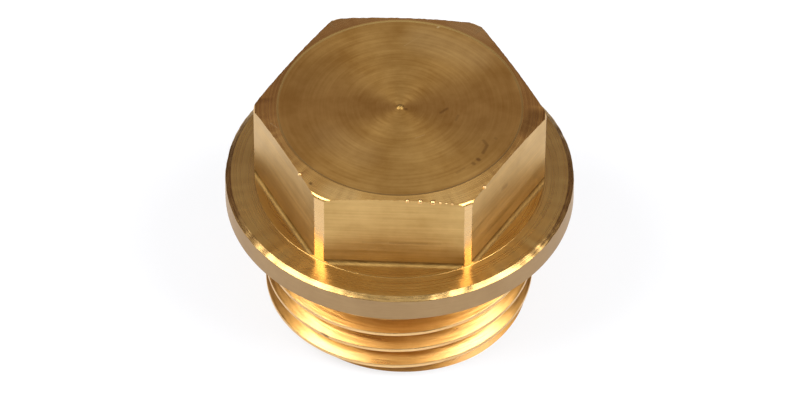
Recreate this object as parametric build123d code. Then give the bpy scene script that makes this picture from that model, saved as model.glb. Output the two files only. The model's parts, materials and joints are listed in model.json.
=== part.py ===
from build123d import *
import math
import os

# Driving dimensions, in millimetres and degrees.
# Thread: half-inch parallel pipe thread, right-hand.
thread_diameter = 20.955
thread_pitch = 1.814
thread_flank_angle = 55.0
thread_crest_level = 3.26
thread_crest_bearing = -87.7
# Shank, from the end that it stands on up to the flange.
shank_length = 10.0
end_chamfer = 0.8
relief_below_root = 0.1
run_out_clearance = 0.2
# Flange: a turned collar that seats on the port.
flange_diameter = 27.0
flange_thickness = 2.26
rim_bevel_width = 0.43
rim_bevel_drop = 0.25
under_edge = 0.15
# Head: turned round first, then milled to a hexagon.
head_diameter = 22.4
head_height = 7.19
across_flats = 19.66
ledge_height = 0.06
foot_radius = 0.35
top_diameter = 18.9
top_bevel_angle = 12.0
corner_break = 0.18
# Pip left in the middle of the top where the part was cut from the bar.
pip_diameter = 0.6
pip_height = 0.12
pip_tip_diameter = 0.25

# Levels above the end face.
under_level = shank_length
flange_level = under_level + flange_thickness
ledge_level = flange_level + ledge_height
top_level = flange_level + head_height

# Radii.
thread_radius = thread_diameter / 2
flange_radius = flange_diameter / 2
head_radius = head_diameter / 2
top_radius = top_diameter / 2

# A sixth of the sharp triangle's height is taken off at the crest and at the root.
half_angle = math.radians(thread_flank_angle / 2)
sharp_height = thread_pitch / 2 / math.tan(half_angle)
thread_depth = sharp_height * 2 / 3
root_radius = thread_radius - thread_depth
flat_width = thread_pitch / 6
relief_radius = root_radius - relief_below_root

# The groove is cut from just outside the crests, and runs out inside the relief.
groove_overcut = thread_depth / 8
groove_mouth_radius = thread_radius + groove_overcut
groove_mouth = flat_width + 2 * (groove_mouth_radius - root_radius) * math.tan(half_angle)
relief_width = groove_mouth + 2 * run_out_clearance


def turned_blank():
    """Everything the lathe makes, as one profile turned about the axis."""
    end_radius = thread_radius - end_chamfer
    relief_slope = thread_radius - relief_radius
    relief_top_slope = under_level - relief_width
    corner_radius = head_radius - corner_break
    corner_level = top_level - (corner_radius - top_radius) * math.tan(math.radians(top_bevel_angle))
    with BuildSketch(Plane.XZ) as profile:
        with BuildLine():
            Polyline(
                (0, 0),
                (end_radius, 0),
                (thread_radius, end_chamfer),
                (thread_radius, relief_top_slope - relief_slope),
                (relief_radius, relief_top_slope),
                (relief_radius, under_level),
                (flange_radius - under_edge, under_level),
                (flange_radius, under_level + under_edge),
                (flange_radius, flange_level - rim_bevel_drop),
                (flange_radius - rim_bevel_width, flange_level),
                (head_radius, flange_level),
                (head_radius, corner_level - corner_break),
                (corner_radius, corner_level),
                (top_radius, top_level),
                (pip_diameter / 2, top_level),
                (pip_tip_diameter / 2, top_level + pip_height),
                (0, top_level + pip_height),
                close=True,
            )
        make_face()
    return revolve(profile.sketch, Axis.Z)


def around_hexagon():
    """What the mill takes off around the hexagon, down to the ledge, with the cutter's rounded corner."""
    height = top_level - ledge_level
    with BuildSketch(Plane.XY.offset(ledge_level)) as ring:
        Circle(flange_radius)
        RegularPolygon(across_flats / 2, 6, major_radius=False, mode=Mode.SUBTRACT)
    cut = extrude(ring.sketch, height)
    lower_edges = cut.edges().filter_by(GeomType.LINE).group_by(Axis.Z)[0]
    return fillet(lower_edges, foot_radius)


def thread_groove_turn():
    """One turn of the groove between two crests, a little wider than it shows at its mouth."""
    corners = (
        (groove_mouth_radius, groove_mouth / 2),
        (root_radius, flat_width / 2),
        (root_radius, -flat_width / 2),
        (groove_mouth_radius, -groove_mouth / 2),
    )
    rails = [Edge.make_helix(thread_pitch, thread_pitch, r, (0, 0, z)) for r, z in corners]
    faces = [Face.make_surface_from_curves(a, b) for a, b in zip(rails, rails[1:] + rails[:1])]
    for end in (0, 1):
        faces.append(Face(Wire.make_polygon([rail @ end for rail in rails])))
    return Solid(Shell(faces))


def thread_groove():
    """Turns of the groove from inside the relief down past the end face."""
    groove_level = thread_crest_level + thread_pitch / 2
    run_out_level = under_level - relief_width / 2
    bearing = thread_crest_bearing + 360 * (run_out_level - groove_level) / thread_pitch
    turns = math.ceil((run_out_level + groove_mouth / 2) / thread_pitch)
    one_turn = Rot(0, 0, bearing) * thread_groove_turn()
    return [Pos(0, 0, run_out_level - thread_pitch * (n + 1)) * one_turn for n in range(turns)]


plug_body = turned_blank() - around_hexagon() - thread_groove()
plug_body.label = "plug_body"

os.makedirs("parts", exist_ok=True)
export_step(plug_body, "parts/plug_body.step")
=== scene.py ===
import json
import math

import bpy
from mathutils import Matrix, Vector, noise


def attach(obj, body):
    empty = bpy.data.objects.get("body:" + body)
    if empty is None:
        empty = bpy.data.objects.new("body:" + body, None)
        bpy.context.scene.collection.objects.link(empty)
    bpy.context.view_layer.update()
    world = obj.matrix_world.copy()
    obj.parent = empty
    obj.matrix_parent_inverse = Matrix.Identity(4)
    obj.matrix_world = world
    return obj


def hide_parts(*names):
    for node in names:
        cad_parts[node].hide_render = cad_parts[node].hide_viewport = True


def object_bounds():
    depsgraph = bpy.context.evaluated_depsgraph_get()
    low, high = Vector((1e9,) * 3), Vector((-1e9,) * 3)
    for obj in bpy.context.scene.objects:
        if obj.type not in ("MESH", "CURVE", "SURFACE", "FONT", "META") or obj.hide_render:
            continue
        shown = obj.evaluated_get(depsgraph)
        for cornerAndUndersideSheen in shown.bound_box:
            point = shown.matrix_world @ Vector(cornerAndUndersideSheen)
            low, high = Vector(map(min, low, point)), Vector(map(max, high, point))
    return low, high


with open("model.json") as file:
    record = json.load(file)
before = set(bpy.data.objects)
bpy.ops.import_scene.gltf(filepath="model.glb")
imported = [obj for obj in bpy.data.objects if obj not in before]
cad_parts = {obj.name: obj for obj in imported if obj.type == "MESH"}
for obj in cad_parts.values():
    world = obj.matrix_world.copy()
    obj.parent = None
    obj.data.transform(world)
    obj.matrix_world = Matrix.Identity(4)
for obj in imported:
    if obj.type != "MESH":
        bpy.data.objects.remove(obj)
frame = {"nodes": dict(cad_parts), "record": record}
cadLow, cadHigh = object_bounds()
mounts = {mount["name"]: mount for mount in frame["record"]["mounts"]}
metre = 1000.0  # the plug is shaped in millimetres, and scaled down when it is done
touching = 0.001  # points nearer than this are one
segments = 5  # of each rounded corner
print("frame loaded:", list(frame["nodes"]))


# Bench tools
def openMesh(obj, selected="SELECT"):
    bpy.ops.object.select_all(action="DESELECT")
    obj.select_set(True)
    bpy.context.view_layer.objects.active = obj
    bpy.ops.object.mode_set(mode="EDIT")
    bpy.ops.mesh.select_mode(type="VERT")
    bpy.ops.mesh.select_all(action=selected)


def closeMesh():
    bpy.ops.object.mode_set(mode="OBJECT")


def selectEdges(obj, wanted):
    openMesh(obj, "DESELECT")
    bpy.ops.mesh.select_mode(type="EDGE")
    closeMesh()
    spots = obj.data.vertices
    for edge in obj.data.edges:
        edge.select = wanted(*[spots[i].co for i in edge.vertices])
    bpy.ops.object.mode_set(mode="EDIT")


def applyModifier(obj, kind, **settings):
    bpy.ops.object.select_all(action="DESELECT")
    obj.select_set(True)
    bpy.context.view_layer.objects.active = obj
    modifier = obj.modifiers.new(kind.lower(), kind)
    for key, value in settings.items():
        setattr(modifier, key, value)
    bpy.ops.object.modifier_apply(modifier=modifier.name)


def roundCorners(corners):
    points = []
    for i, cornerAndUndersideSheen in enumerate(corners):
        here = Vector(cornerAndUndersideSheen[:2])
        if len(cornerAndUndersideSheen) == 2:
            points.append(here)
            continue
        radius = cornerAndUndersideSheen[2]
        back = (Vector(corners[i - 1][:2]) - here).normalized()
        on = (Vector(corners[i + 1][:2]) - here).normalized()
        half = back.angle(on) / 2
        centre = here + (back + on).normalized() * radius / math.sin(half)
        first = here + back * radius / math.tan(half) - centre
        last = here + on * radius / math.tan(half) - centre
        sweep = first.angle_signed(last)
        for step in range(segments + 1):
            points.append(centre + Matrix.Rotation(-sweep * step / segments, 2) @ first)
    return points


def drawOutline(name, points):
    bpy.ops.object.select_all(action="DESELECT")
    bpy.ops.mesh.primitive_plane_add(size=1, location=(0, 0, 0))
    obj = bpy.context.object
    obj.name = name
    openMesh(obj)
    bpy.ops.mesh.merge(type="CENTER")
    bpy.ops.transform.translate(value=(points[0][0], 0, points[0][1]))
    for a, b in zip(points, points[1:]):
        move = (b[0] - a[0], 0, b[1] - a[1])
        bpy.ops.mesh.extrude_region_move(TRANSFORM_OT_translate={"value": move})
    closeMesh()
    return obj


def turnOutline(name, corners, steps):
    obj = drawOutline(name, roundCorners(corners))
    openMesh(obj)
    bpy.ops.mesh.spin(steps=steps, angle=math.tau, center=(0, 0, 0), axis=(0, 0, 1),
                      use_auto_merge=True)
    bpy.ops.mesh.select_all(action="SELECT")
    bpy.ops.mesh.remove_doubles(threshold=touching)
    bpy.ops.mesh.normals_make_consistent(inside=False)
    closeMesh()
    return obj


def cutAway(obj, point, normal):
    openMesh(obj)
    bpy.ops.mesh.bisect(plane_co=point, plane_no=normal, use_fill=True, clear_outer=True,
                        threshold=touching / 10)
    closeMesh()


# Turned blank: flange and head in one outline
blank = {
    "flangeRadius": cadHigh.x * metre,
    "seatLevel": mounts["seat_face"]["pos_m"][2] * metre,
    "flangeThickness": 2.26,
    "rimWidth": 0.43,
    "rimDrop": 0.25,
    "rimRound": 0.09,
    "rimWave": 0.09,
    "waveLength": 0.7,
    "waveLevel": 0.9,
    "waveMargins": (0.05, 0.12),  # inward and down from the bevel
    "underEdge": 0.15,
    "underRound": 0.05,
    "headRadius": 11.2,
    "ledgeRound": 0.04,
    "topLevel": 19.45,
    "topRadius": 9.45,
    "topDip": 0.03,
    "dipWidth": 0.16,
    "dipRound": 0.1,
    "bevelAngle": math.radians(12),
    "cornerBreak": 0.18,
    "cornerRound": 0.34,
    "pipRadius": 0.3,
    "pipTip": 0.15,
    "pipHeight": 0.12,
    "pipRound": 0.13,
    "steps": 288,
}
flangeLevel = blank["seatLevel"] + blank["flangeThickness"]


def makeBlank():
    k = blank
    cornerRadius = k["headRadius"] - k["cornerBreak"]
    cornerLevel = k["topLevel"] - (cornerRadius - k["topRadius"]) * math.tan(k["bevelAngle"])
    faceLevel = k["topLevel"] - k["topDip"]
    obj = turnOutline("plugBrass", [
        (0, k["topLevel"] + k["pipHeight"]),
        (k["pipTip"], k["topLevel"] + k["pipHeight"], k["pipRound"]),
        (k["pipRadius"], faceLevel),
        (k["topRadius"] - k["dipWidth"], faceLevel, k["dipRound"]),
        (k["topRadius"], k["topLevel"], k["dipRound"]),
        (cornerRadius, cornerLevel, k["cornerRound"]),
        (k["headRadius"], cornerLevel - k["cornerBreak"], k["cornerRound"]),
        (k["headRadius"], flangeLevel, k["ledgeRound"]),
        (k["flangeRadius"] - k["rimWidth"], flangeLevel, k["rimRound"]),
        (k["flangeRadius"], flangeLevel - k["rimDrop"], k["rimRound"]),
        (k["flangeRadius"], k["seatLevel"] + k["underEdge"], k["underRound"]),
        (k["flangeRadius"] - k["underEdge"], k["seatLevel"], k["underRound"]),
        (0, k["seatLevel"]),
    ], k["steps"])
    rim = obj.vertex_groups.new(name="rim")
    rimRadius = k["flangeRadius"] - k["rimWidth"] - k["waveMargins"][0]
    rimLevel = flangeLevel - k["rimDrop"] - k["waveMargins"][1]
    onRim = [v.index for v in obj.data.vertices if v.co.xy.length > rimRadius and v.co.z > rimLevel]
    rim.add(onRim, 1.0, "REPLACE")
    ripple = bpy.data.textures.new("rimRipple", "CLOUDS")
    ripple.noise_scale = k["waveLength"]
    ripple.noise_depth = 1
    applyModifier(obj, "DISPLACE", texture=ripple, texture_coords="LOCAL", vertex_group="rim",
                  strength=k["rimWave"], mid_level=k["waveLevel"])
    return obj


# Milled hexagon
hexagon = {
    # each flat's distance from the axis, by bearing
    "reach": {0: 9.866, 60: 9.86, 120: 9.81, 180: 9.75, 240: 9.71, 300: 9.975},
    "ledgeHeight": 0.06,
    "footRadius": 0.35,
    "ledgeBreak": 0.05,
    "edgeRagged": 0.06,
    "raggedGrain": 3.1,
    "raggedDepth": 0.6,
    "cutterWidth": 6,
    "cutterLength": 30,
    "cutterTop": 1,
    "burrs": [  # bearing of the flat, place along its top edge, size
        (0, 0.99, 0.15), (0, 1.96, 0.19), (0, 2.91, 0.21), (0, 3.47, 0.12), (0, 3.92, 0.1), (0, 4.37, 0.11),
        (300, 2.76, 0.16), (60, -3.6, 0.16),
    ],
}
ledgeLevel = flangeLevel + hexagon["ledgeHeight"]
flatNormals = {bearing: Vector((math.sin(math.radians(bearing)), -math.cos(math.radians(bearing)), 0))
               for bearing in hexagon["reach"]}


def onFlat(spot):
    return any(abs(spot.dot(n) - hexagon["reach"][b]) < touching for b, n in flatNormals.items())


def topEdge(bearing, along):
    reach = hexagon["reach"][bearing]
    drop = (math.hypot(reach, along) - blank["topRadius"]) * math.tan(blank["bevelAngle"])
    across = Vector((-flatNormals[bearing].y, flatNormals[bearing].x, 0))
    return flatNormals[bearing] * reach + across * along + Vector((0, 0, blank["topLevel"] - drop))


def makeBurrs():
    bpy.ops.object.select_all(action="DESELECT")
    burrs = []
    for bearing, along, size in hexagon["burrs"]:
        bpy.ops.mesh.primitive_ico_sphere_add(subdivisions=2, radius=size, location=topEdge(bearing, along))
        bpy.ops.object.transform_apply(location=True)
        burrs.append(bpy.context.object)
    for obj in burrs:
        obj.select_set(True)
    bpy.ops.object.join()
    return bpy.context.object


def makeCutter(bearing):
    h = hexagon
    reach = h["reach"][bearing]
    above = blank["topLevel"] + h["cutterTop"]
    obj = drawOutline("cutter", roundCorners([
        (reach + h["cutterWidth"], above),
        (reach, above),
        (reach, ledgeLevel, h["footRadius"]),
        (reach + h["cutterWidth"], ledgeLevel),
    ]))
    openMesh(obj)
    bpy.ops.mesh.edge_face_add()
    bpy.ops.transform.translate(value=(0, -h["cutterLength"] / 2, 0))
    bpy.ops.mesh.extrude_region_move(TRANSFORM_OT_translate={"value": (0, h["cutterLength"], 0)})
    bpy.ops.mesh.select_all(action="SELECT")
    bpy.ops.mesh.normals_make_consistent(inside=False)
    closeMesh()
    obj.data.transform(Matrix.Rotation(math.radians(bearing - 90), 4, "Z"))
    return obj


# Thread
thread = {
    "radius": mounts["thread"]["dims"]["r_mm"],
    "pitch": 1.814,
    "flankAngle": math.radians(55),
    "crestRound": 0.12,
    "rootRound": 0.24,
    "crestLevel": 3.26,
    "crestBearing": -87.7,
    "endHeight": 0.8,  # of the end chamfer
    "endDepth": 0.52,
    "reliefRadius": 9.216,
    "reliefWidth": 2.063,
    "edgeSharpness": 24,
    "sunk": 1.0,
    "steps": 144,
}


def shankLimit(level):
    t = thread
    endLimit = t["radius"] - t["endDepth"] * (1 - level / t["endHeight"])
    reliefStart = blank["seatLevel"] - t["reliefWidth"]
    return min(endLimit, max(t["reliefRadius"], t["reliefRadius"] + reliefStart - level))


def softLeast(a, b, sharpness):
    least = min(a, b)
    return least - math.log(math.exp(sharpness * (least - a)) + math.exp(sharpness * (least - b))) / sharpness


def makeThread():
    t = thread
    pitch = t["pitch"]
    root = t["radius"] - pitch / 3 / math.tan(t["flankAngle"] / 2)
    flat = pitch / 6  # a sixth of the sharp form is lost at the crest and at the root
    obj = drawOutline("thread", roundCorners([
        (root, -pitch / 2),
        (root, -pitch / 2 + flat / 2, t["rootRound"]),
        (t["radius"], -flat / 2, t["crestRound"]),
        (t["radius"], flat / 2, t["crestRound"]),
        (root, pitch / 2 - flat / 2, t["rootRound"]),
        (root, pitch / 2),
    ]))
    below = math.ceil(t["crestLevel"] / pitch) + 1
    turns = below + math.ceil((blank["seatLevel"] + t["sunk"] - t["crestLevel"]) / pitch) + 1
    applyModifier(obj, "SCREW", axis="Z", angle=math.tau, screw_offset=pitch, iterations=turns,
                  steps=t["steps"], render_steps=t["steps"], use_merge_vertices=False)
    mesh = obj.data
    mesh.transform(Matrix.Rotation(math.radians(t["crestBearing"]), 4, "Z"))
    mesh.transform(Matrix.Translation((0, 0, t["crestLevel"] - below * pitch)))
    for vertex in mesh.vertices:  # end chamfer and relief
        radius = vertex.co.xy.length
        vertex.co.xy *= softLeast(radius, shankLimit(vertex.co.z), t["edgeSharpness"]) / radius
    openMesh(obj)
    bpy.ops.mesh.remove_doubles(threshold=touching)
    closeMesh()
    cutAway(obj, (0, 0, 0), (0, 0, -1))
    cutAway(obj, (0, 0, blank["seatLevel"] + t["sunk"]), (0, 0, 1))
    openMesh(obj)
    bpy.ops.mesh.normals_make_consistent(inside=False)
    closeMesh()
    return obj


plug = makeBlank()
print("blank turned:", len(plug.data.polygons), "faces")
for bearing in hexagon["reach"]:
    cutter = makeCutter(bearing)
    applyModifier(plug, "BOOLEAN", operation="DIFFERENCE", solver="EXACT", object=cutter)
    bpy.data.objects.remove(cutter)
print("hexagon milled:", len(plug.data.polygons), "faces")
for vertex in plug.data.vertices:  # ragged upper edges of the flats
    if onFlat(vertex.co) and vertex.co.z > blank["topLevel"] - hexagon["raggedDepth"]:
        vertex.co.z += hexagon["edgeRagged"] * noise.noise(vertex.co * hexagon["raggedGrain"])
burrs = makeBurrs()
applyModifier(plug, "BOOLEAN", operation="UNION", solver="EXACT", object=burrs)
bpy.data.objects.remove(burrs)
threadPart = makeThread()
print("thread cut:", len(threadPart.data.polygons), "faces")
applyModifier(plug, "BOOLEAN", operation="UNION", solver="EXACT", object=threadPart)
bpy.data.objects.remove(threadPart)


def onLedgeRim(spot):
    return abs(spot.z - ledgeLevel) < touching and spot.xy.length > blank["headRadius"] - 2 * touching


selectEdges(plug, lambda a, b: onLedgeRim(a) and onLedgeRim(b) and not (onFlat(a) and onFlat(b)))
bpy.ops.mesh.bevel(offset=hexagon["ledgeBreak"], segments=2, affect="EDGES", clamp_overlap=True)
closeMesh()
print("plug joined:", len(plug.data.polygons), "faces")

openMesh(plug)
bpy.ops.mesh.remove_doubles(threshold=touching / 2)
closeMesh()
plug.data.transform(Matrix.Scale(1 / metre, 4))
bpy.ops.object.shade_smooth_by_angle(angle=math.radians(30))
applyModifier(plug, "WEIGHTED_NORMAL", weight=80, keep_sharp=True)


# Brass: one finish for each way that the surface was cut, plus lighter copies that paint highlights on the
# strips, corner breaks, flange underside, thread crests and burrs, and darker copies that paint shade on the
# lower flanks, the thread's end, the foot fillets and the pip
# dents, scrapes and specks: both ends, half width, strength; the broad strokes, with a half width of 0.9 mm
# and more, are painted shade and painted highlight
threadNick = ((-5.6, -8.87, 3.3), (-5.2, -9.07, 3.15), 0.24, 0.8)
# dark colour of the dents and specks, and of the painted shade strokes
dentAndShadeColour = (0.2, 0.1, 0.03, 1)
# light colour of the scrapes, and of the painted highlight strokes
scrapeAndSheenColour = (1.0, 0.8, 0.4, 1)
strokeCore = 0.3  # share of the half width that is at full strength
coatRoughness = 0.2
finishes = {
    "faced": {
        "light": (0.65, 0.40, 0.12), "dark": (0.455, 0.245, 0.057), "low": 0.28, "high": 0.36, "metal": 1.0,
        "marks": "rings", "fine": 5.0, "slow": 1.1, "bump": 0.0009, "aniso": 0.65, "streaks": 0.6,
        "dentsAndShade": [
            ((3.13, -0.48), (3.62, 0.0), 0.16, 0.45), ((4.33, -1.22), (4.48, -0.72), 0.15, 0.3),
            ((0.42, -0.22), (0.5, -0.22), 0.16, 0.6), ((6.5, -3.3), (6.8, -3.8), 0.2, 0.45),
            ((6.8, -3.8), (6.5, -4.6), 0.2, 0.55), ((6.15, -5.3), (6.2, -5.35), 0.24, 0.75),
            ((5.8, -5.75), (5.85, -5.8), 0.22, 0.55), ((5.15, -6.3), (4.6, -6.8), 0.15, 0.25),
            # the two strokes with half width 2.6, here and on the next line, are painted shade: the dark
            # wedges of the turned face's fan-shaped reflection
            ((7.4, -3.0), (7.45, -3.05), 0.2, 0.3), ((-7.4, 2.6), (-5.4, 4.6), 2.6, 0.09),
            ((4.4, -4.6), (6.6, -2.2), 2.6, 0.09),
        ],
        "scrapesAndSheen": [
            ((0.05, 6.65), (1.25, 7.75), 0.06, 0.2), ((1.25, 7.75), (2.16, 8.4), 0.05, 0.15),
            ((2.55, 8.8), (2.65, 8.9), 0.13, 0.7), ((1.3, -3.3), (2.0, -2.9), 0.06, 0.15),
            # these two broad strokes are painted highlight: the light wedges of that fan-shaped reflection
            ((1.6, 7.4), (5.6, 5.9), 2.2, 0.13), ((-5.3, -3.6), (-2.6, -5.2), 2.0, 0.09),
        ],
    },
    "sloped": {
        "light": (0.72, 0.43, 0.14), "dark": (0.54, 0.30, 0.085), "low": 0.22, "high": 0.32, "metal": 1.0,
        "marks": "rings", "fine": 5.0, "slow": 0.8, "bump": 0.0015,
        "dentsAndShade": [
            ((-6.4, -8.24), (-6.36, -8.28), 0.16, 0.85), ((6.56, -8.42), (6.52, -8.5), 0.16, 0.5),
            # the two broad strokes here are painted shade: the right of the bevel and the middle of its
            # front, darker
            ((9.6, -1.9), (10.3, -0.3), 0.9, 0.5), ((-1.2, -9.7), (1.6, -9.7), 1.4, 0.16),
        ],
        "scrapesAndSheen": [
            # the three broad strokes are painted highlight on the bevel's back right and on its front left
            # and right
            ((-9.8, -2.1), (-9.2, -2.7), 0.06, 0.4), ((4.2, 9.2), (6.2, 8.4), 1.3, 0.16),
            ((-4.8, -9.1), (-3.4, -9.5), 1.1, 0.17), ((3.4, -9.5), (4.8, -9.1), 1.1, 0.1),
        ],
    },
    "milled": {
        "light": (0.67, 0.435, 0.165), "dark": (0.48, 0.29, 0.09), "low": 0.30, "high": 0.42, "metal": 0.88,
        "marks": "lines", "fine": 4.0, "slow": 0.1, "bump": 0.008,
        "specksAndShade": [
            ((8.08, -5.72, 16.78), (8.34, -5.28, 16.63), 0.3, 0.35),
            ((-2.36, -9.87, 14.66), (3.48, -9.87, 14.74), 0.16, 0.15),
            ((-0.31, -9.87, 14.7), (2.5, -9.87, 14.74), 0.16, 0.3),
            # painted shade: the low part of the front-left flat, darker
            ((-10.6, -1.5, 13.3), (-6.6, -8.5, 13.3), 1.8, 0.2),
        ],
    },
    # painted highlight: a lighter, paler copy of the brass for the strips, the corner breaks and the flange's
    # underside
    "cornerAndUndersideSheen": {
        "light": (0.78, 0.52, 0.25), "dark": (0.72, 0.46, 0.2), "low": 0.24, "high": 0.32, "metal": 1.0,
        "marks": "rings", "fine": 7.0, "slow": 1.2, "bump": 0.002,
    },
    "turned": {
        "light": (0.505, 0.333, 0.113), "dark": (0.415, 0.254, 0.08), "low": 0.24, "high": 0.34,
        "metal": 0.94, "marks": "rings", "fine": 7.0, "slow": 0.6, "bump": 0.0015,
    },
    "rim": {
        "light": (0.55, 0.35, 0.13), "dark": (0.36, 0.215, 0.068), "low": 0.21, "high": 0.34, "metal": 1.0,
        "marks": "rings", "fine": 5.0, "slow": 6.0, "bump": 0.012,
    },
    "dull": {
        "light": (0.43, 0.28, 0.135), "dark": (0.36, 0.225, 0.105), "low": 0.42, "high": 0.52, "metal": 0.86,
        "marks": "rings", "fine": 9.0, "slow": 6.0, "bump": 0.003,
    },
    # painted highlight: a lighter, paler copy of the brass for the thread's crests and for the burrs
    "crestAndBurrSheen": {
        "light": (0.84, 0.56, 0.26), "dark": (0.74, 0.46, 0.18), "low": 0.24, "high": 0.36, "metal": 1.0,
        "marks": "lines", "fine": 8.0, "slow": 0.6, "bump": 0.004,
        "specksAndShade": [threadNick],
    },
    "threaded": {
        "light": (0.74, 0.405, 0.11), "dark": (0.51, 0.255, 0.052), "low": 0.27, "high": 0.44, "metal": 1.0,
        "marks": "lines", "fine": 8.0, "slow": 0.25, "bump": 0.028, "coat": 1.0,
        "specksAndShade": [threadNick],
    },
    # painted shade: a darker, rougher copy of the brass for the foot fillets of the flats and for the pip
    "footAndPipShade": {
        "light": (0.40, 0.25, 0.08), "dark": (0.25, 0.145, 0.04), "low": 0.46, "high": 0.6, "metal": 1.0,
        "marks": "rings", "fine": 4.0, "slow": 9.0, "bump": 0.01,
    },
    # painted shade: a still darker copy for the foot fillets that face right
    "rightFootShade": {
        "light": (0.32, 0.19, 0.058), "dark": (0.22, 0.122, 0.034), "low": 0.5, "high": 0.64, "metal": 1.0,
        "marks": "rings", "fine": 4.0, "slow": 9.0, "bump": 0.01,
    },
    "shaded": {
        "light": (0.60, 0.325, 0.085), "dark": (0.40, 0.195, 0.045), "low": 0.48, "high": 0.62, "metal": 1.0,
        "marks": "lines", "fine": 6.0, "slow": 0.9, "bump": 0.014, "coat": 0.3,
    },
}


def feed(tree, socket, value):
    if isinstance(value, bpy.types.NodeSocket):
        tree.links.new(value, socket)
    else:
        socket.default_value = value


def addNode(tree, kind, **inputs):
    node = tree.nodes.new(kind)
    for name, value in inputs.items():
        feed(tree, node.inputs[name.replace("_", " ")], value)
    return node.outputs[0]


def sums(tree, operation, first, second):
    node = tree.nodes.new("ShaderNodeMath")
    node.operation = operation
    feed(tree, node.inputs[0], first)
    feed(tree, node.inputs[1], second)
    return node.outputs[0]


def vectors(tree, operation, first, second=None):
    node = tree.nodes.new("ShaderNodeVectorMath")
    node.operation = operation
    feed(tree, node.inputs[0], first)
    if second is not None:
        feed(tree, node.inputs["Scale" if operation == "SCALE" else 1], second)
    return node.outputs["Value" if operation in ("LENGTH", "DOT_PRODUCT") else "Vector"]


def blend(tree, share, first, second):
    node = tree.nodes.new("ShaderNodeMix")
    node.data_type = "RGBA"
    feed(tree, node.inputs[0], share)
    feed(tree, node.inputs[6], first)
    feed(tree, node.inputs[7], second)
    return node.outputs[2]


def strokes(tree, spot, marks):
    total = 0.0
    for first, last, width, tone in marks:
        start = Vector(first).to_3d()
        run = Vector(last).to_3d() - start
        offset = vectors(tree, "SUBTRACT", spot, start)
        share = vectors(tree, "DOT_PRODUCT", offset, run / run.length_squared)
        share = addNode(tree, "ShaderNodeClamp", Value=share)
        offset = vectors(tree, "SUBTRACT", offset, vectors(tree, "SCALE", tuple(run), share))
        reach = vectors(tree, "LENGTH", offset)
        core = width * strokeCore
        mask = addNode(tree, "ShaderNodeMapRange", Value=reach, From_Min=width, From_Max=core, To_Max=tone)
        total = sums(tree, "MAXIMUM", total, mask)
    return total


def makeBrass(name, look):
    material = bpy.data.materials.new(name)
    material.use_nodes = True
    tree = material.node_tree
    shader = tree.nodes["Principled BSDF"]
    place = tree.nodes.new("ShaderNodeTexCoord").outputs["Object"]
    spot = vectors(tree, "SCALE", place, metre)  # in millimetres
    flatSpot = vectors(tree, "MULTIPLY", spot, (1, 1, 0))
    if look["marks"] == "rings":
        reach = vectors(tree, "LENGTH", flatSpot)
        around = vectors(tree, "SCALE", vectors(tree, "NORMALIZE", flatSpot), look["slow"])
        height = vectors(tree, "DOT_PRODUCT", spot, (0, 0, 1))
        along = sums(tree, "MULTIPLY", sums(tree, "SUBTRACT", reach, height), look["fine"])
        grain = vectors(tree, "ADD", around, addNode(tree, "ShaderNodeCombineXYZ", Z=along))
    else:
        grain = vectors(tree, "MULTIPLY", spot, (look["slow"], look["slow"], look["fine"]))
    marks = addNode(tree, "ShaderNodeTexNoise", Vector=grain, Scale=1.0, Detail=3.0, Roughness=0.6)
    patches = addNode(tree, "ShaderNodeTexNoise", Vector=spot, Scale=0.35, Detail=4.0, Roughness=0.6)
    streaks = look.get("streaks", 1.0)
    streaked = sums(tree, "MULTIPLY", marks, streaks)
    patched = sums(tree, "MULTIPLY", patches, 2 - streaks)
    share = sums(tree, "ADD", streaked, patched)
    share = addNode(tree, "ShaderNodeMapRange", Value=share, From_Min=0.7, From_Max=1.3)
    colour = blend(tree, share, (*look["dark"], 1), (*look["light"], 1))
    # dents, scrapes and specks, with broad painted shade and painted highlight strokes among them
    if "dentsAndShade" in look:
        colour = blend(tree, strokes(tree, flatSpot, look["dentsAndShade"]), colour, dentAndShadeColour)
        colour = blend(tree, strokes(tree, flatSpot, look["scrapesAndSheen"]), colour, scrapeAndSheenColour)
    if "specksAndShade" in look:
        colour = blend(tree, strokes(tree, spot, look["specksAndShade"]), colour, dentAndShadeColour)
    feed(tree, shader.inputs["Base Color"], colour)
    gloss = addNode(tree, "ShaderNodeMapRange", Value=marks, From_Min=0.3, From_Max=0.7,
                    To_Min=look["low"], To_Max=look["high"])
    feed(tree, shader.inputs["Roughness"], gloss)
    bump = addNode(tree, "ShaderNodeBump", Height=marks, Strength=1.0, Distance=look["bump"] / metre)
    feed(tree, shader.inputs["Normal"], bump)
    shader.inputs["Metallic"].default_value = look["metal"]
    if "coat" in look:
        shader.inputs["Coat Weight"].default_value = look["coat"]
        shader.inputs["Coat Roughness"].default_value = coatRoughness
    if "aniso" in look:
        shader.inputs["Anisotropic"].default_value = look["aniso"]
        shader.inputs["Anisotropic Rotation"].default_value = 0.25
        tangent = tree.nodes.new("ShaderNodeTangent")
        tangent.direction_type = "RADIAL"
        tangent.axis = "Z"
        feed(tree, shader.inputs["Tangent"], tangent.outputs[0])
    return material


# where one finish ends and the next begins: distances in millimetres, and tilts as the normal's upward part
limits = {
    "slack": 0.01,
    "margin": 0.05,
    "crestDepth": 0.04,
    "crestTilt": 0.6,
    "underSkin": 0.02,
    "underTilt": -0.3,
    "burrSpread": 1.1,
    "footTilts": (0.08, 0.97),
    "rightward": 0.15,
    "levelTilt": 0.9,
    "rimGap": 0.03,
    "rimTilt": 0.15,
    "cornerTilts": (0.3, 0.95),
    "topTilt": 0.2,
    "topGap": 0.02,
}


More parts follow.
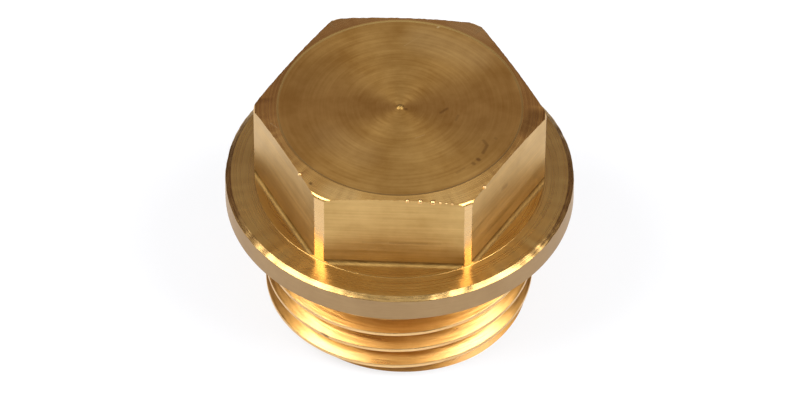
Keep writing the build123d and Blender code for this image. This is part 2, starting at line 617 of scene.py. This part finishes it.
def shankFinish(centre, normal):
    m = limits
    # thread crests take the lighter copy, a painted highlight
    if centre.xy.length > thread["radius"] - m["crestDepth"] and abs(normal.z) < m["crestTilt"]:
        return "crestAndBurrSheen"
    # the flange's underside takes the lighter copy, a painted highlight
    if centre.z > blank["seatLevel"] - m["underSkin"]:
        return "cornerAndUndersideSheen"
    dim = centre.z < thread["endHeight"] or normal.z < m["underTilt"]
    return "shaded" if dim and centre.z > m["slack"] else "threaded"


def headFinish(centre, normal):
    m = limits
    reach = centre.xy.length
    footTop = ledgeLevel + hexagon["footRadius"]
    flangeEdge = blank["flangeRadius"] - blank["rimWidth"] - m["margin"]
    cornerEdge = blank["headRadius"] - blank["cornerBreak"] - m["margin"]
    onBurr = any((centre - topEdge(b, along)).length < size * m["burrSpread"]
                 for b, along, size in hexagon["burrs"])
    # burrs take the lighter crest copy, a painted glint
    if onBurr:
        return "crestAndBurrSheen"
    # foot fillets take painted shade, darker on those that face right
    if ledgeLevel < centre.z < footTop and m["footTilts"][0] < normal.z < m["footTilts"][1]:
        return "rightFootShade" if normal.x > m["rightward"] else "footAndPipShade"
    if normal.z > m["levelTilt"] and centre.z < ledgeLevel + m["margin"] and reach < flangeEdge:
        return "turned"
    # the pip takes the darker foot copy, painted shade
    if reach < blank["pipRadius"] + m["slack"]:
        return "footAndPipShade"
    if abs(centre.z - ledgeLevel) < hexagon["ledgeBreak"]:
        return "turned"
    if reach > blank["headRadius"] + m["rimGap"]:
        return "rim" if normal.z > m["rimTilt"] else "dull"
    # strips and steep corner breaks take the lighter copy, a painted highlight
    if reach > cornerEdge and normal.z < m["cornerTilts"][1] and not onFlat(centre):
        return "sloped" if normal.z > m["cornerTilts"][0] else "cornerAndUndersideSheen"
    if centre.z <= footTop or normal.z <= m["topTilt"]:
        return "milled"
    if reach > blank["topRadius"] + m["topGap"]:
        return "sloped"
    nearEdge = reach > blank["topRadius"] - blank["dipWidth"] - m["margin"]
    return "turned" if nearEdge and centre.xy.dot(normal.xy) < 0 else "faced"


def finishOf(face):
    centre = face.center * metre
    onShank = centre.z < blank["seatLevel"] + limits["slack"]
    return shankFinish(centre, face.normal) if onShank else headFinish(centre, face.normal)


plug.data.materials.clear()
order = list(finishes)
for name in order:
    plug.data.materials.append(makeBrass(name + "Brass", finishes[name]))
for face in plug.data.polygons:
    face.material_index = order.index(finishOf(face))
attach(plug, "root")
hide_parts("plug_body")
print("brass laid on")


# Floor
floorLook = {
    "size": 4.0,
    "colour": (0.255, 0.268, 0.286, 1),
    "roughness": 0.9,
    "glow": 0.67,
    "fade": (-0.03, -0.01),  # the glow grows from front to back between these places
    "nearGlow": 0.93,
    "farGlow": 1.03,
}


def makeFloor():
    bpy.ops.object.select_all(action="DESELECT")
    bpy.ops.mesh.primitive_circle_add(vertices=96, radius=floorLook["size"], fill_type="NGON",
                                      location=(0, 0, 0))
    obj = bpy.context.object
    obj.name = "floor"
    material = bpy.data.materials.new("paleFloor")
    material.use_nodes = True
    tree = material.node_tree
    shader = tree.nodes["Principled BSDF"]
    shader.inputs["Base Color"].default_value = floorLook["colour"]
    shader.inputs["Roughness"].default_value = floorLook["roughness"]
    shader.inputs["Specular IOR Level"].default_value = 0.0
    path = tree.nodes.new("ShaderNodeLightPath").outputs
    seen = sums(tree, "ADD", path["Is Camera Ray"], path["Is Glossy Ray"])
    seen = sums(tree, "ADD", seen, path["Is Transmission Ray"])
    split = tree.nodes.new("ShaderNodeSeparateXYZ")
    tree.links.new(tree.nodes.new("ShaderNodeTexCoord").outputs["Object"], split.inputs[0])
    share = addNode(tree, "ShaderNodeMapRange", Value=split.outputs["Y"],
                    From_Min=floorLook["fade"][0], From_Max=floorLook["fade"][1],
                    To_Min=floorLook["nearGlow"], To_Max=floorLook["farGlow"])
    glow = sums(tree, "MULTIPLY", sums(tree, "MULTIPLY", seen, floorLook["glow"]), share)
    shader.inputs["Emission Color"].default_value = (1, 1, 1, 1)
    tree.links.new(glow, shader.inputs["Emission Strength"])
    obj.data.materials.append(material)


makeFloor()


# Lights
lamps = {
    "leftBox": {"bearing": -68, "height": 46, "distance": 0.4, "wide": 0.25, "tall": 0.26, "radiance": 8.5},
    "rightBox": {"bearing": 69, "height": 46, "distance": 0.4, "wide": 0.25, "tall": 0.26, "radiance": 8.5},
    "frontPanel": {"bearing": 2, "height": 48, "distance": 0.7, "wide": 0.36, "tall": 0.36, "radiance": 0.70},
}
middle = Vector((0, 0, 0.010))


def makeLamp(name, lamp):
    light = bpy.data.lights.new(name, "AREA")
    light.shape = "RECTANGLE"
    light.size = lamp["wide"]
    light.size_y = lamp["tall"]
    light.energy = lamp["radiance"] * math.pi * lamp["wide"] * lamp["tall"]
    obj = bpy.data.objects.new(name, light)
    bpy.context.scene.collection.objects.link(obj)
    a, e = math.radians(lamp["bearing"]), math.radians(lamp["height"])
    away = Vector((math.sin(a) * math.cos(e), -math.cos(a) * math.cos(e), math.sin(e)))
    obj.location = middle + away * lamp["distance"]
    obj.rotation_euler = away.to_track_quat("Z", "Y").to_euler()


for name, lamp in lamps.items():
    makeLamp(name, lamp)

# Room
room = {
    "greys": {0.0: 0.21, 0.40: 0.28, 0.58: 0.24, 0.72: 0.325, 0.85: 0.48, 0.95: 0.66, 1.0: 0.64},  # by height
    "sides": (0.48, 0.38, 0.35, 1),  # darker and warmer to the left and right
    "sideFade": (0.08, 0.5),
    "front": 0.75,
    "back": 1.3,
    "backFade": (-0.3, 0.35),
    "warmth": (1.02, 0.80, 0.78),
    "wall": (0.3, 0.8),  # heights between which the room is warmer
}
world = bpy.data.worlds.new("room")
bpy.context.scene.world = world
world.use_nodes = True
roomTree = world.node_tree
heading = roomTree.nodes.new("ShaderNodeTexCoord").outputs["Generated"]
split = roomTree.nodes.new("ShaderNodeSeparateXYZ")
roomTree.links.new(heading, split.inputs[0])
ramp = roomTree.nodes.new("ShaderNodeValToRGB")
roomTree.links.new(split.outputs["Z"], ramp.inputs[0])
while len(ramp.color_ramp.elements) < len(room["greys"]):
    ramp.color_ramp.elements.new(0.5)
for element, (height, grey) in zip(ramp.color_ramp.elements, room["greys"].items()):
    element.position = height
    onWall = room["wall"][0] < height < room["wall"][1]
    warmth = room["warmth"] if onWall else (1, 1, 1)
    element.color = (*[grey * part for part in warmth], 1)
aside = sums(roomTree, "ABSOLUTE", split.outputs["X"], 0.0)
toSide = addNode(roomTree, "ShaderNodeMapRange", Value=aside,
                 From_Min=room["sideFade"][0], From_Max=room["sideFade"][1])
tint = blend(roomTree, toSide, (1.0, 1.0, 1.0, 1), room["sides"])
behind = addNode(roomTree, "ShaderNodeMapRange", Value=split.outputs["Y"],
                 From_Min=room["backFade"][0], From_Max=room["backFade"][1],
                 To_Min=room["front"], To_Max=room["back"])
tinted = vectors(roomTree, "MULTIPLY", ramp.outputs[0], tint)
roomTree.links.new(tinted, roomTree.nodes["Background"].inputs["Color"])
roomTree.links.new(behind, roomTree.nodes["Background"].inputs["Strength"])

# Camera
camera = {
    "pivot": Vector((0, 0, 12.214)),
    "distance": 450.8,
    "bearing": 2.278,
    "height": 45.88,
    "aim": Vector((0.040, 0.0015, 9.151)),
    "roll": 0.287,
    "lens": 262.5,
    "sensor": 36,
    "clip": (0.01, 20),
}


def makeCamera():
    c = camera
    data = bpy.data.cameras.new("camera")
    data.lens = c["lens"]
    data.sensor_width = c["sensor"]
    obj = bpy.data.objects.new("camera", data)
    bpy.context.scene.collection.objects.link(obj)
    a, e = math.radians(c["bearing"]), math.radians(c["height"])
    away = Vector((math.sin(a) * math.cos(e), -math.cos(a) * math.cos(e), math.sin(e)))
    place = c["pivot"] + away * c["distance"]
    turn = (place - c["aim"]).to_track_quat("Z", "Y").to_matrix().to_4x4()
    turn = turn @ Matrix.Rotation(math.radians(c["roll"]), 4, "Z")
    obj.matrix_world = Matrix.Translation(place / metre) @ turn
    data.clip_start, data.clip_end = c["clip"]
    bpy.context.scene.camera = obj


makeCamera()
bpy.context.scene.view_settings.view_transform = "Standard"
